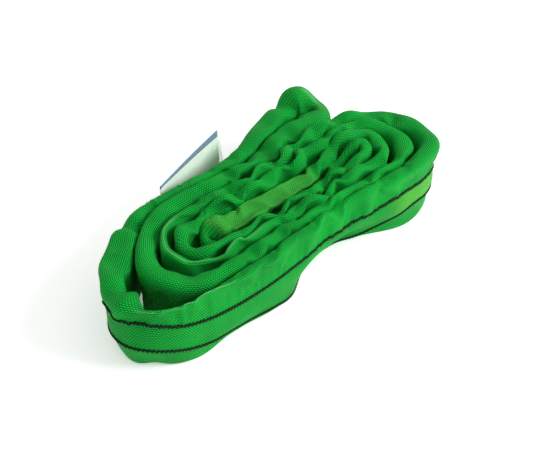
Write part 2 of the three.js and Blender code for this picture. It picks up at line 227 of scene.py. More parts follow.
def route_curve():
    """Evenly spaced stations along the route: run, route position, place, way right, thickness; length."""
    thick = np.array([r[2] for r in ROUTE], float)
    fine, where = catmull_rom(np.array([r[:2] for r in ROUTE], float))
    closed = np.vstack([fine, fine[:1]])
    run = np.concatenate([[0], np.cumsum(np.linalg.norm(np.diff(closed, axis=0), axis=1))])
    length = run[-1]
    count = int(round(length / STEP))
    s = np.arange(count) * length / count
    u = np.interp(s, run, where)
    x = np.interp(s, run, closed[:, 0])
    y = np.interp(s, run, closed[:, 1])
    place = np.stack([x, y], 1) - CENTRE
    along = np.roll(place, -1, 0) - np.roll(place, 1, 0)
    along /= np.linalg.norm(along, axis=1)[:, None]
    right = np.stack([along[:, 1], -along[:, 0]], 1)
    wide = np.interp(u, np.arange(POINTS + 1), np.append(thick, thick[0]))
    return s, u, place, right, wide, length


S, U, PLACE, RIGHT, WIDE, LENGTH = route_curve()
COUNT = len(S)
print("loop length, mm", round(LENGTH, 1), "stations", COUNT)


def blur(values, width):
    """Rounds a closed run of values over a width in mm."""
    reach = max(1, int(2.5 * width / STEP))
    kernel = np.exp(-0.5 * (np.arange(-reach, reach + 1) * STEP / width) ** 2)
    kernel /= kernel.sum()
    wrapped = np.concatenate([values[-reach:], values, values[:reach]])
    return np.convolve(wrapped, kernel, "valid")


crest = blur(periodic(CREST, U), 3)
crown = blur(WIDE * periodic(CROWN, U), 3)
lean = blur(periodic(LEAN, U), 4)
tuck = blur(periodic(TUCK, U), 4.5)
body = blur(WIDE, 6)
roof = blur(periodic(ROOF, U), 5)
reach = blur(periodic(TUCK_REACH, U), 8)[:, None]
lumps = blur(periodic(LUMPS, U), 8)
bulge = blur(periodic(BULGE, U), 6)


def wave(length, phase):
    """A ripple along the loop with about this wave length, mm."""
    return np.sin(2 * math.pi * (round(LENGTH / length) * S / LENGTH + phase))


crest += lumps * (1.5 * wave(33, 0.1) + 1.1 * wave(21, 0.37) + 1.1 * wave(53, 0.6))
lean += lumps * (1.0 * wave(27, 0.8) + 0.9 * wave(44, 0.25))
crown *= 1 + lumps * (0.15 * wave(24, 0.55) + 0.13 * wave(38, 0.9))
foot = blur(WIDE * periodic(FOOT, U), 8)
slack = blur(periodic(SLACK, U), 10) / 100
held_below = blur(periodic(HELD_BELOW, U), 10)
fill_gap = blur(periodic(FILL_GAP, U), 10)


def shift_at(height):
    """How far the section is moved outwards at each height, by its lean and its tuck, mm."""
    leaning = lean[:, None] * smooth((height - LEANS_FROM) / LEANS_OVER)
    tucked = tuck[:, None] * (1 - smooth(height / reach))
    return leaning + tucked


def section():
    """Every station's section: how far out and how far up each row lies, two arrays [station, row], mm."""
    rows = 2 * FACE_ROWS + 2 * CROWN_ROWS
    out = np.zeros((COUNT, rows))
    up = np.zeros((COUNT, rows))
    high = np.minimum(crown / 2, roof)
    low = foot / 2 * 0.8
    for k in range(FACE_ROWS):
        t = k / FACE_ROWS
        z = low + (crest - high - low) * t
        half = body / 2 + (crown - body) / 2 * smooth((z - WIDENS_FROM) / WIDENS_OVER)
        half = half + (foot - body) / 2 * (1 - smooth(z / FOOT_HEIGHT))
        out[:, k], up[:, k] = half, z
        j = FACE_ROWS + CROWN_ROWS + FACE_ROWS - k
        out[:, j], up[:, j] = -half, z
    for k in range(CROWN_ROWS + 1):
        a = math.pi * k / CROWN_ROWS
        half = crown / 2
        out[:, FACE_ROWS + k] = half * math.cos(a)
        up[:, FACE_ROWS + k] = crest - high + high * math.sin(a)
    for k in range(1, CROWN_ROWS):
        a = math.pi * k / CROWN_ROWS
        j = 2 * FACE_ROWS + CROWN_ROWS + k
        c = math.cos(a)
        out[:, j] = -foot / 2 * np.sign(c) * abs(c) ** 0.6
        up[:, j] = low - low * math.sin(a) ** 0.6
    face = up[:, :FACE_ROWS]
    out[:, :FACE_ROWS] += bulge[:, None] * np.exp(-((face - BULGE_HEIGHT) / BULGE_SPREAD) ** 2)
    return out + shift_at(up), up


def placed(out, up):
    """Sections' points in the frame, metres."""
    xy = PLACE[:, None, :] + RIGHT[:, None, :] * out[:, :, None]
    return np.concatenate([xy, up[:, :, None]], 2) * MM


def grid_mesh(name, points, closed_rings=True, layers=None):
    """A tube of rings of points; layers are UV maps, [ring, row, 2], with one more of each than points."""
    rings, rows = points.shape[:2]
    index = np.arange(rings * rows).reshape(rings, rows)
    after = np.roll(index, -1, 0) if closed_rings else index[1:]
    first = index if closed_rings else index[:-1]
    side = lambda a: np.roll(a, -1, 1)
    quads = np.stack([first, after, side(after), side(first)], 2).reshape(-1, 4).tolist()
    if not closed_rings:
        quads += [index[0].tolist(), index[-1][::-1].tolist()]
    mesh = bpy.data.meshes.new(name)
    mesh.from_pydata(points.reshape(-1, 3).tolist(), [], quads)
    for key, at in (layers or {}).items():
        layer = mesh.uv_layers.new(name=key)
        corners = np.stack([at[:-1, :-1], at[1:, :-1], at[1:, 1:], at[:-1, 1:]], 2)
        layer.data.foreach_set("uv", corners.astype(np.float32).ravel())
    mesh.polygons.foreach_set("use_smooth", [True] * len(mesh.polygons))
    mesh.update()
    thing = bpy.data.objects.new(name, mesh)
    bpy.context.collection.objects.link(thing)
    return thing


def joined(name, parts):
    """One piece of several grids."""
    things = [grid_mesh(name, points, closed_rings=False) for points in parts]
    whole = bmesh.new()
    for thing in things:
        whole.from_mesh(thing.data)
    mesh = things[0].data
    whole.to_mesh(mesh)
    whole.free()
    for thing in things[1:]:
        bpy.data.meshes.remove(thing.data)
    mesh.polygons.foreach_set("use_smooth", [True] * len(mesh.polygons))
    things[0].name = name
    return things[0]


out, up = section()


# ---------------------------------------------------------------- cloth
SIM_SCALE = 20  # the solver is happier with a large model
SIM_FRAMES = 20
MOST_SLACK = 0.2
FREE_ABOVE = 42  # height, mm
LEAST_BAND = 6  # over which the hold passes away
LEAST_HOLD = 0.02
HOLD_LEVELS = 100
WALL = 1.6  # from the sleeve's outside to its filling, mm
FILL_FOOT = 4.0  # height of the filling's underside
FILL_ROUND = 3  # height of its top's rounding


def hold_weights():
    """How firmly each point keeps its place: the filled lower part does, the slack top doesn't."""
    start = held_below[:, None]
    return 1 - (1 - LEAST_HOLD) * smooth((up - start) / np.maximum(FREE_ABOVE - start, LEAST_BAND))


def add_groups(thing, hold):
    """Vertex groups: how firmly each point is held, and how little slack each ring has."""
    group = thing.vertex_groups.new(name="hold")
    for level in range(1, HOLD_LEVELS + 1):
        chosen = np.nonzero(np.rint(hold.ravel() * HOLD_LEVELS) == level)[0]
        if len(chosen):
            group.add(chosen.tolist(), level / HOLD_LEVELS, "REPLACE")
    taut = thing.vertex_groups.new(name="taut")
    rows = up.shape[1]
    for ring in range(COUNT):
        taut.add(list(range(ring * rows, (ring + 1) * rows)), 1 - slack[ring] / MOST_SLACK, "REPLACE")


def add_cloth(thing):
    """The cloth settings; the shrinking ones are negative, so the cloth grows where it is slack."""
    cloth = thing.modifiers.new("cloth", "CLOTH")
    c = cloth.settings
    c.quality = 5
    c.mass = 0.3
    c.time_scale = 1.0
    c.tension_stiffness = 20
    c.compression_stiffness = 20
    c.shear_stiffness = 5
    c.bending_stiffness = 4
    c.tension_damping = 10
    c.compression_damping = 10
    c.air_damping = 2
    c.vertex_group_shrink = "taut"
    c.shrink_min = -MOST_SLACK
    c.shrink_max = 0
    c.vertex_group_mass = "hold"
    c.pin_stiffness = 1.5
    c.use_pressure = True
    c.uniform_pressure_force = -0.4
    c.effector_weights.gravity = 1.0
    k = cloth.collision_settings
    k.use_collision = True
    k.distance_min = 0.0004 * SIM_SCALE
    k.use_self_collision = True
    k.self_distance_min = 0.0005 * SIM_SCALE
    k.collision_quality = 2
    cloth.point_cache.frame_start = 1
    cloth.point_cache.frame_end = SIM_FRAMES


def simulate(points, hold):
    """Lets the slack cloth crumple: it is longer than the route that it lies on."""
    thing = grid_mesh("cloth", points * SIM_SCALE)
    add_groups(thing, hold)
    add_cloth(thing)
    for step in range(1, SIM_FRAMES + 1):
        bpy.context.scene.frame_set(step)
    done = thing.evaluated_get(bpy.context.evaluated_depsgraph_get())
    moved = np.empty(points.size)
    done.data.vertices.foreach_get("co", moved)
    bpy.data.objects.remove(thing)
    return moved.reshape(points.shape) / SIM_SCALE


def fill_shape():
    """What fills the sleeve while it is draped: narrower than it and rounded on top."""
    half = np.minimum(body, crown) / 2 - WALL
    top = np.maximum(crown / 2 - WALL, 1)
    high = crest - fill_gap
    angles = np.linspace(0, math.pi, 7)
    base = foot / 2 - WALL
    bottom = np.full(COUNT, FILL_FOOT)
    rows = [(base, bottom), (half, high * 0.5)]
    rows += [(top * math.cos(a), high - FILL_ROUND + FILL_ROUND * math.sin(a)) for a in angles]
    rows += [(-half, high * 0.5), (-base, bottom)]
    out_fill = np.stack([r[0] for r in rows], 1)
    up_fill = np.stack([r[1] for r in rows], 1)
    thing = grid_mesh("fill", placed(out_fill + shift_at(up_fill), up_fill) * SIM_SCALE)
    thing.modifiers.new("collision", "COLLISION")
    thing.collision.thickness_outer = 0.0004 * SIM_SCALE
    thing.collision.thickness_inner = 0.001 * SIM_SCALE
    thing.collision.cloth_friction = 8
    return thing


def drape(points):
    """The sleeve's coarse grid after the cloth has settled over its filling."""
    fill = fill_shape()
    settled = simulate(points, hold_weights())
    bpy.data.objects.remove(fill)
    bpy.context.scene.frame_set(1)
    return settled


def refine(grid, axis):
    """Twice as many places along one direction of a closed grid, on a smooth line through them."""
    before, after, next_ = np.roll(grid, 1, axis), np.roll(grid, -1, axis), np.roll(grid, -2, axis)
    middle = (9 * (grid + after) - before - next_) / 16
    both = np.stack([grid, middle], axis + 1)
    shape = list(grid.shape)
    shape[axis] *= 2
    return both.reshape(shape)


HEM_AT = 0.97  # route point where the sleeve's last end stops, over its first
HEM_DEPTH = 1.0
HEM_FADE = 7  # how soon the inner end is back at its full size, mm
HEM_SWELL = 0.35  # of the outer end, over HEM_RISE
HEM_RISE = 4


def hem(grid):
    """Steps the sleeve in just past its last end."""
    start = np.interp(HEM_AT, U, S)
    past = np.arange(RINGS) * LENGTH / RINGS - start
    rise = HEM_SWELL * smooth(1 + past / HEM_RISE)
    step = np.where(past > 0, -HEM_DEPTH * np.exp(-past / HEM_FADE), rise)
    return grid + normals(grid) * (step * MM)[:, None, None]


def normals(grid):
    around = np.roll(grid, -1, 1) - np.roll(grid, 1, 1)
    forward = np.roll(grid, -1, 0) - np.roll(grid, 1, 0)
    n = np.cross(forward, around)
    return n / np.linalg.norm(n, axis=2)[:, :, None]


def wrapped(values):
    return np.pad(values, ((0, 1), (0, 1)), mode="wrap")


def bell(x, centre, width):
    return np.exp(-((x - centre) / width) ** 2)


def window(x, start, rise, end, fall):
    """1 from start to end, fading in over rise and out over fall."""
    return smooth((x - start) / rise) * (1 - smooth((x - end) / fall))


def painted_light_masks():
    """Where light is painted on: a pale strip and top where light falls, and painted highlight lines where
    light catches the sleeve's pressed edges.
    """
    row = np.arange(skin_up.shape[1])[None, :]
    u = fine_u[:, None]
    outer = row < 2 * FACE_ROWS
    # painted light: reflected yellowish light on the right end's outer face, between the tracers
    painted_light_strip = window(u, 17, 1.2, 20, 1) * window(skin_up, 15, 6, 31, 1.5) * outer
    top = window(row, 2 * FACE_ROWS - 1, 2, 2 * FACE_ROWS + 2 * CROWN_ROWS, 2)
    # painted light: the flat top of the run into the inner bight, lighter because it faces the light
    painted_top_light = 0.5 * top * window(u, 49.8, 0.8, 55, 0.6)
    # painted highlights: light lines along the pressed ridges at the left end's outer corner, the inner
    # ring and the outer bight's tip
    corner = bell(row, 2 * FACE_ROWS + 3, 1.3) * window(u, 8.2, 0.5, 11.6, 0.5)
    middle = bell(row, 2 * FACE_ROWS + CROWN_ROWS, 1.3)
    ring = middle * window(u, 32.5, 1, 39, 1)
    tip = middle * window(u, 113.6, 0.6, 116, 0.5)
    return wrapped(painted_light_strip + painted_top_light), wrapped(corner + ring + tip)


coarse = drape(placed(out, up))
skin = refine(refine(coarse, 0), 1)
skin_up = refine(refine(up[:, :, None], 0), 1)[:, :, 0]
RINGS = len(skin)
fine_u = np.interp(np.arange(RINGS) / 2, np.arange(COUNT + 1), np.append(U, POINTS))
skin = hem(skin)
SKIN_NORMAL = normals(skin)
section_out = refine(refine(out[:, :, None], 0), 1)[:, :, 0]
pitch = np.hypot(np.roll(section_out, -1, 1) - section_out, np.roll(skin_up, -1, 1) - skin_up) * MM
around = np.concatenate([np.zeros((RINGS, 1)), np.cumsum(pitch, 1)], 1)
around = np.concatenate([around, around[:1]])
along = np.broadcast_to(np.arange(RINGS + 1)[:, None] * LENGTH / RINGS * MM, around.shape)
# the second UV map carries where light and highlights are painted on the sleeve
cover = grid_mesh(
    "sleeve", skin, layers={"weave": np.stack([along, around], 2), "painted_light": np.stack(painted_light_masks(), 2)}
)


# ---------------------------------------------------------------- pieces that follow the sleeve
def row_at(height, inner=False):
    """The fractional row of each ring at a height up the sleeve's outer or inner face, mm."""
    count = 2 * FACE_ROWS + 1
    first = 2 * (FACE_ROWS + CROWN_ROWS) if inner else 0
    rows = first + np.arange(count)
    height = np.broadcast_to(height, RINGS)
    found = np.empty(RINGS)
    for ring in range(RINGS):
        heights = skin_up[ring, first:first + count]
        if inner:
            found[ring] = np.interp(height[ring], heights[::-1], rows[::-1])
        else:
            under = min(0, height[ring] - heights[0]) * ROWS_PER_MM
            found[ring] = np.interp(height[ring], heights, rows) + under
    return found


ROWS_PER_MM = 1.2  # of the finer grid, round the bottom


def sample(grid, row):
    """The grid at fractional rows, one for each ring."""
    low = np.floor(row).astype(int) % grid.shape[1]
    part = (row - np.floor(row))[:, None]
    ring = np.arange(len(grid))
    return grid[ring, low] * (1 - part) + grid[ring, (low + 1) % grid.shape[1]] * part


def stretch(values, count):
    """A closed run of values, resampled to count places on a smooth line."""
    while len(values) < count:
        values = refine(values[:, None], 0)[:, 0]
    return values


def unit(v):
    return v / np.linalg.norm(v, axis=-1, keepdims=True)


def tracer(name, height):
    """A coarse two-ply thread floating along the outer face."""
    row = row_at(height)
    path = stretch(sample(skin, row), 2.5 * RINGS)
    out_way = unit(stretch(sample(SKIN_NORMAL, row), 2.5 * RINGS))
    along_way = unit(np.roll(path, -1, 0) - np.roll(path, 1, 0))
    side = np.cross(along_way, out_way)
    place = np.arange(len(path)) / len(path)
    turns = round(LENGTH / TRACER_TWIST)
    angle = np.linspace(0, 2 * math.pi, TRACER_SIDES, endpoint=False)
    twist = angle[None, :] - 2 * math.pi * turns * place[:, None]
    lobed = 1 + TRACER_LOBE * np.cos(2 * twist)
    sway = TRACER_SWAY * np.sin(2 * math.pi * 2 * turns * place)[:, None, None]
    ring = (
        out_way[:, None, :] * (TRACER_RISE + TRACER_THICK / 2 * lobed * np.cos(angle))[:, :, None]
        + side[:, None, :] * ((TRACER_WIDE / 2 * lobed * np.sin(angle))[:, :, None] + sway)
    )
    return grid_mesh(name, path[:, None, :] + ring * MM)


TRACER_TWIST = 4.4  # length of one turn, mm
TRACER_SIDES = 8
TRACER_THICK, TRACER_WIDE = 1.44, 2.1
TRACER_LOBE = 0.3  # depth of the groove between the two plies, as a share
TRACER_RISE, TRACER_SWAY = 0.1, 0.18
tracers = [
    tracer("tracer_thread_lower", blur(periodic(TRACER_LOW, fine_u), 8)),
    tracer("tracer_thread_upper", blur(periodic(TRACER_HIGH, fine_u), 8)),
]


BUNDLES = 4
BUNDLE_BOTTOM, BUNDLE_STEP, BUNDLE_HEIGHT, BUNDLE_HALF = 7.9, 7.7, 7.2, 2.4
CORE_WALL = 1.1  # left free between the core and the sleeve's outside, mm
CORE_LEAST = 0.25  # half width where there is no room
SAG_ROOM = 2.2
CORE_TOP = BUNDLE_BOTTOM + (BUNDLES - 1) * BUNDLE_STEP + BUNDLE_HEIGHT
YARN_LOBES = 7
YARN_GROOVE = 0.05  # depth of the grooves between the lobes, as a share
YARN_TURNS = 12  # of the first bundle along the loop; each next one has one more
TAPE_FROM, TAPE_TO = POINTS - 4, POINTS - 3  # route points
TAPE_INSIDE, TAPE_OUTSIDE = 0.25, 0.5  # of the tape, from the bundles' sides, mm
CROWN_START = 2 * FACE_ROWS
CROWN_MIDDLE = 2 * FACE_ROWS + CROWN_ROWS
RING_PLACE = refine(PLACE, 0)
RING_RIGHT = unit(refine(RIGHT, 0))
SKIN_OUT = ((skin[:, :, :2] / MM - RING_PLACE[:, None]) * RING_RIGHT[:, None]).sum(2)
SKIN_Z = skin[:, :, 2] / MM


def least(values, reach=3):
    """The least of each place's neighbours along a closed run, then rounded."""
    low = np.min([np.roll(values, k) for k in range(-reach, reach + 1)], 0)
    return np.mean([np.roll(low, k) for k in range(-2, 3)], 0)


LEVELS = np.arange(3.0, 46.0, 2.5)  # heights, mm
LEVEL_REACH = 2  # how near a point counts as at a level


def room_inside():
    """The middle and the half width of the free room inside each ring at each level, mm."""
    middle, half = [], []
    for level in LEVELS:
        outer_row, inner_row = row_at(level), row_at(level, inner=True)
        centre = (sample(SKIN_OUT[..., None], outer_row) + sample(SKIN_OUT[..., None], inner_row))[:, 0] / 2
        near = np.abs(SKIN_Z - level) < LEVEL_REACH
        outer = np.where(near[:, :CROWN_MIDDLE], SKIN_OUT[:, :CROWN_MIDDLE], 9).min(1)
        inner = np.where(near[:, CROWN_MIDDLE:], SKIN_OUT[:, CROWN_MIDDLE:], -9).max(1)
        middle.append(centre)
        half.append(np.maximum(least(np.minimum(outer - centre, centre - inner)) - CORE_WALL, CORE_LEAST))
    return np.stack(middle, 1), np.stack(half, 1)


ROOM_MIDDLE, ROOM_HALF = room_inside()


def at_level(values, height):
    """A table over LEVELS, read for each ring at the heights [ring, side]."""
    place = np.clip((height - LEVELS[0]) / (LEVELS[1] - LEVELS[0]), 0, len(LEVELS) - 1.001)
    low = place.astype(int)
    part = place - low
    ring = np.arange(RINGS)[:, None]
    return values[ring, low] * (1 - part) + values[ring, low + 1] * part


def core_squeeze():
    """How far the stack is pressed down where the sleeve sags."""
    sag = SKIN_Z[:, CROWN_START:CROWN_START + 2 * CROWN_ROWS + 1].min(1)
    return np.minimum(1, least(sag - SAG_ROOM) / CORE_TOP)


SQUEEZE = core_squeeze()


def core_section(low, high, spare, wide_power, sides, flute=1):
    """Rings of a rounded box between two heights in the stack; spare is added to its half width."""
    middle_height = (low + high) / 2
    angle = np.linspace(0, 2 * math.pi, sides, endpoint=False)[None, :]
    tall = (high - low) / 2 * flute * np.sign(np.sin(angle)) * np.abs(np.sin(angle)) ** wide_power
    height = (middle_height + tall) * SQUEEZE[:, None]
    half = np.minimum(at_level(ROOM_HALF, height), BUNDLE_HALF) + spare
    share = flute * np.sign(np.cos(angle)) * np.abs(np.cos(angle)) ** wide_power
    wide = at_level(ROOM_MIDDLE, height) + half * share
    points = np.empty((RINGS, sides, 3))
    points[:, :, :2] = RING_PLACE[:, None] + RING_RIGHT[:, None] * wide[:, :, None]
    points[:, :, 2] = height
    return points * MM


def bundle(index):
    """An endless hank of yarn: a fluted, slowly turning bundle."""
    low = BUNDLE_BOTTOM + index * BUNDLE_STEP
    sides = 4 * YARN_LOBES
    angle = np.linspace(0, 2 * math.pi, sides, endpoint=False)[None, :]
    place = np.arange(RINGS)[:, None] / RINGS
    turned = angle + 2 * math.pi * (YARN_TURNS + index) * place
    flute = 1 - YARN_GROOVE + YARN_GROOVE * np.cos(YARN_LOBES * turned)
    points = core_section(low, low + BUNDLE_HEIGHT, 0, 0.7, sides, flute)
    return grid_mesh(f"yarn_bundle_{index + 1}", points[::2])


bundles = [bundle(index) for index in range(BUNDLES)]


def tape():
    """A turn of tape round the whole stack, with thickness."""
    chosen = np.nonzero((fine_u > TAPE_FROM) & (fine_u < TAPE_TO))[0]
    near = core_section(BUNDLE_BOTTOM, CORE_TOP, TAPE_INSIDE, 0.35, 40)[chosen]
    far = core_section(BUNDLE_BOTTOM - 0.3, CORE_TOP + 0.3, TAPE_OUTSIDE, 0.35, 40)[chosen]
    return grid_mesh("tape_turn", np.concatenate([far, near[::-1]]))


tape_turn = tape()


# ---------------------------------------------------------------- stitches
STITCH_ARCH, STITCH_SUNK = 0.32, 0.12  # height of the arch, and how deep its ends lie, mm
STITCH_RINGS, STITCH_SIDES = 7, 6


def stitches(name, lines, length=3.2, gap=1.0, radius=0.34):
    """Rows of small arched stitches; each line is points and the way out from the cloth, metres."""
    parts = []
    for path, away in lines:
        run = np.concatenate([[0], np.cumsum(np.linalg.norm(np.diff(path, axis=0), axis=1))]) / MM
        for start in np.arange(0.4, run[-1] - length, length + gap):
            t = np.linspace(0, 1, STITCH_RINGS)
            at = start + t * length
            point = np.stack([np.interp(at, run, path[:, k]) for k in range(3)], 1)
            out_way = unit(np.stack([np.interp(at, run, away[:, k]) for k in range(3)], 1))
            forward = unit(np.gradient(point, axis=0))
            side = np.cross(forward, out_way)
            rise = (STITCH_ARCH * np.sin(math.pi * t) - STITCH_SUNK) * MM
            size = radius * MM * np.clip(np.sin(math.pi * (0.1 + 0.8 * t)), 0.25, 1)
            angle = np.linspace(0, 2 * math.pi, STITCH_SIDES, endpoint=False)
            centre = point + out_way * rise[:, None]
            parts.append(
                centre[:, None]
                + side[:, None] * (size[:, None] * np.cos(angle))[:, :, None]
                + out_way[:, None] * (size[:, None] * np.sin(angle))[:, :, None]
            )
    return joined(name, parts)


def closing_seam(index, at):
    """The row of stitches round the lapped ends, from the outer face over the top to the inner one."""
    ring = int(np.argmin(np.abs(fine_u - at)))
    rows = np.arange(2, 2 * (2 * FACE_ROWS + CROWN_ROWS) - 1)
    return stitches(f"closing_stitches_{index}", [(skin[ring, rows], SKIN_NORMAL[ring, rows])])


SEAM_AT = (0.08, 0.28)  # route points of the two rows
closing = [closing_seam(1, SEAM_AT[0]), closing_seam(2, SEAM_AT[1])]


# ---------------------------------------------------------------- label
CREASE = (-66.2, 30.25)
LABEL_ANGLE = math.radians(17)
TAB_ANGLE = math.radians(0.8)
LABEL_LENGTH, LABEL_BOTTOM, LABEL_TOP = 70, 3, 50
TAB_LENGTH = 11
TAB_BACK = 0.25
TAB_TOP = LABEL_TOP - 6
TAB_GAP = 0.55  # at the crease, so that the label clears the tab when it swings back
CARD_GAP = 0.35
CARD_THICK, FILM_THICK, TAB_THICK = 0.36, 0.14, 0.55
LABEL_BOW = 0.9
LABEL_SWING, LABEL_TWIST = 0.4, 1.2  # of the free end away from the coil, and of its top against its middle
LABEL_MIDDLE, LABEL_HALF = 26, 24  # heights
FILM_GAP = 0.34  # between the card's middle and each leaf's
STITCH_ROWS = (-3.2, -8.6)  # along the tab


def by_crease(points, angle, back=0.0):
    """Label points, (along, away from the coil, up) in mm from the crease, placed in metres."""
    x = CREASE[0] - CENTRE[0] + points[..., 0] * math.cos(angle) - points[..., 1] * math.sin(angle)
    y = CREASE[1] - CENTRE[1] + back + points[..., 0] * math.sin(angle) + points[..., 1] * math.cos(angle)
    return np.stack([x, y, points[..., 2]], -1) * MM


def curl(x, z):
    """How the free label bows and twists, mm."""
    t = x / LABEL_LENGTH
    end = LABEL_SWING + LABEL_TWIST * (z - LABEL_MIDDLE) / LABEL_HALF
    return LABEL_BOW * np.sin(math.pi * t) + t * t * end


def plate(along, heights, thick, shape, ends=None):
    """Rings of a thin upright plate along its length; shape bows it, ends gives its end at each height."""
    rounding = np.minimum(1, np.minimum(heights - heights[0], heights[-1] - heights) / 0.8 + 0.35)
    rows = np.concatenate([heights, heights[::-1]])
    side = np.concatenate([-rounding, rounding[::-1]]) * thick / 2
    rings = []
    for x in along:
        reach = x if ends is None else x * ends(rows) / along[-1]
        reach = np.broadcast_to(reach, rows.shape)
        rings.append(np.stack([reach, side + shape(reach, rows), rows], 1))
    return np.array(rings)


def label_sheet():
    """The free printed card."""
    heights = np.linspace(LABEL_BOTTOM, LABEL_TOP, 30)
    along = np.linspace(CARD_GAP, LABEL_LENGTH, 44)
    return grid_mesh("label_card", by_crease(plate(along, heights, CARD_THICK, curl), LABEL_ANGLE), False)


def film_end(z):
    """How far along the clear film ends: past the card, more so low down."""
    return LABEL_LENGTH + 1 + 6.5 * (LABEL_TOP - z) / (LABEL_TOP - LABEL_BOTTOM)


def label_film():
    """Two leaves, before and behind the card, joined round its free end."""
    heights = np.linspace(LABEL_BOTTOM - 0.5, LABEL_TOP + 0.5, 26)
    along = np.linspace(1.2, LABEL_LENGTH + 3.5, 46)
    gap = lambda x, z: FILM_GAP * smooth((film_end(z) - x) / 3 - 0.15)
    front = plate(along, heights, FILM_THICK, lambda x, z: curl(x, z) - gap(x, z), film_end)
    behind = plate(along, heights, FILM_THICK, lambda x, z: curl(x, z) + gap(x, z), film_end)
    return joined("clear_film", [by_crease(front, LABEL_ANGLE), by_crease(behind, LABEL_ANGLE)])


def label_tab():
    """The sewn end, hemmed double: thicker towards the crease."""
    heights = np.linspace(LABEL_BOTTOM, TAB_TOP, 28)
    along = np.linspace(-TAB_GAP - TAB_LENGTH, -TAB_GAP, 24)
    leaf = plate(along, heights, TAB_THICK, lambda x, z: 0.12 * np.sin(z * 0.9 + x))
    under = plate(along[5:], heights, 0.42, lambda x, z: -0.28 + 0 * x)
    turn = lambda grid: by_crease(grid, TAB_ANGLE, TAB_BACK)
    return joined("label_end", [turn(leaf), turn(under)])


def tab_stitching():
    """Two rows of stitches that hold the tab on the sleeve."""
    heights = np.linspace(LABEL_BOTTOM + 2, TAB_TOP, 60)
    lines = []
    for x in STITCH_ROWS:
        points = np.stack([np.full(60, x), np.full(60, 0.32), heights], 1)
        away = np.tile([-math.sin(TAB_ANGLE), math.cos(TAB_ANGLE), 0], (60, 1))
        lines.append((by_crease(points, TAB_ANGLE, TAB_BACK), away))
    return stitches("label_stitches", lines, length=2.4, gap=0.9, radius=0.26)


label_card = label_sheet()
clear_film = label_film()
label_end = label_tab()
label_stitches = tab_stitching()


# ---------------------------------------------------------------- materials
class Nodes:
    """A short way to write a node material."""

    def __init__(self, name):
        self.material = bpy.data.materials.new(name)
        self.material.use_nodes = True
        self.tree = self.material.node_tree
        self.shader = self.tree.nodes["Principled BSDF"]

    def link(self, value, socket):
        if isinstance(value, bpy.types.NodeSocket):
            self.tree.links.new(value, socket)
        else:
            socket.default_value = value

    def math(self, operation, a, b=None, c=None, clamp=False):
        node = self.tree.nodes.new("ShaderNodeMath")
        node.operation = operation
        node.use_clamp = clamp
        for value, socket in zip((a, b, c), node.inputs):
            if value is not None:
                self.link(value, socket)
        return node.outputs[0]

    def mix(self, factor, a, b):
        node = self.tree.nodes.new("ShaderNodeMix")
        node.data_type = "RGBA"
        self.link(factor, node.inputs[0])
        self.link(a, node.inputs[6])
        self.link(b, node.inputs[7])
        return node.outputs[2]

    def uv(self, name):
        """The two coordinates of a UV map."""
        node = self.tree.nodes.new("ShaderNodeUVMap")
        node.uv_map = name
        part = self.tree.nodes.new("ShaderNodeSeparateXYZ")
        self.link(node.outputs[0], part.inputs[0])
        return part.outputs[0], part.outputs[1]

    def noise(self, vector, scale, detail=2.0):
        node = self.tree.nodes.new("ShaderNodeTexNoise")
        self.link(vector, node.inputs["Vector"])
        node.inputs["Scale"].default_value = scale
        node.inputs["Detail"].default_value = detail
        return node.outputs["Fac"]

    def bump(self, height, distance, strength=1.0):
        node = self.tree.nodes.new("ShaderNodeBump")
        node.inputs["Strength"].default_value = strength
        node.inputs["Distance"].default_value = distance
        self.link(height, node.inputs["Height"])
        self.link(node.outputs["Normal"], self.shader.inputs["Normal"])


WEAVE_ROW = 0.0012  # spacing of the rows, m
WEAVE_DASH = 0.0015  # spacing of the floats along a row
WEAVE_RELIEF = 0.00045
# shares of the painted light and of the painted highlight lines in the sleeve's colour
PAINTED_LIGHT_SHARE, PAINTED_HIGHLIGHT_SHARE = 0.42, 0.45


